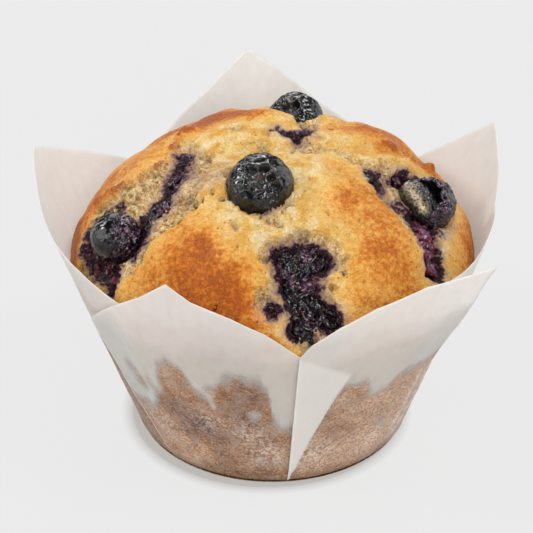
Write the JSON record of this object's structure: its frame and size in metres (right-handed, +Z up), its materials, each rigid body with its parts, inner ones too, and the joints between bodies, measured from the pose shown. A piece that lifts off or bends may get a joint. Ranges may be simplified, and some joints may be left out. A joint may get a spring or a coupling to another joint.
{
  "type": "blueberry muffin",
  "caption": "Domed golden muffin with whole and burst blueberries, baked in a white greaseproof tulip case with pointed paper petals.",
  "frame": {"origin": "middle of the paper case's flat underside", "axes": "+Z up through the muffin, -Y towards its front with the whole berry and the seam of the case, +X to its right"},
  "size_m": [0.0987, 0.1007, 0.0699],
  "materials": {
    "crust": "baked, matte",
    "paper": "greaseproof, matte",
    "berry_skin": "waxy, semi-gloss",
    "berry_flesh": "wet"
  },
  "bodies": {
    "root": {"muffin": "crust", "paper_case": "paper", "berry_front": "berry_skin", "berry_back": "berry_skin", "berry_left": "berry_skin", "berry_rear": "berry_skin", "berry_right": "berry_skin", "pulp_front": "berry_flesh", "pulp_left": "berry_flesh", "pulp_left_drip": "berry_flesh", "pulp_right": "berry_flesh", "pulp_right_top": "berry_flesh", "pulp_right_spot": "berry_flesh", "pulp_top": "berry_flesh", "pulp_spot": "berry_flesh", "pulp_rear": "berry_flesh"}
  },
  "joints": []
}
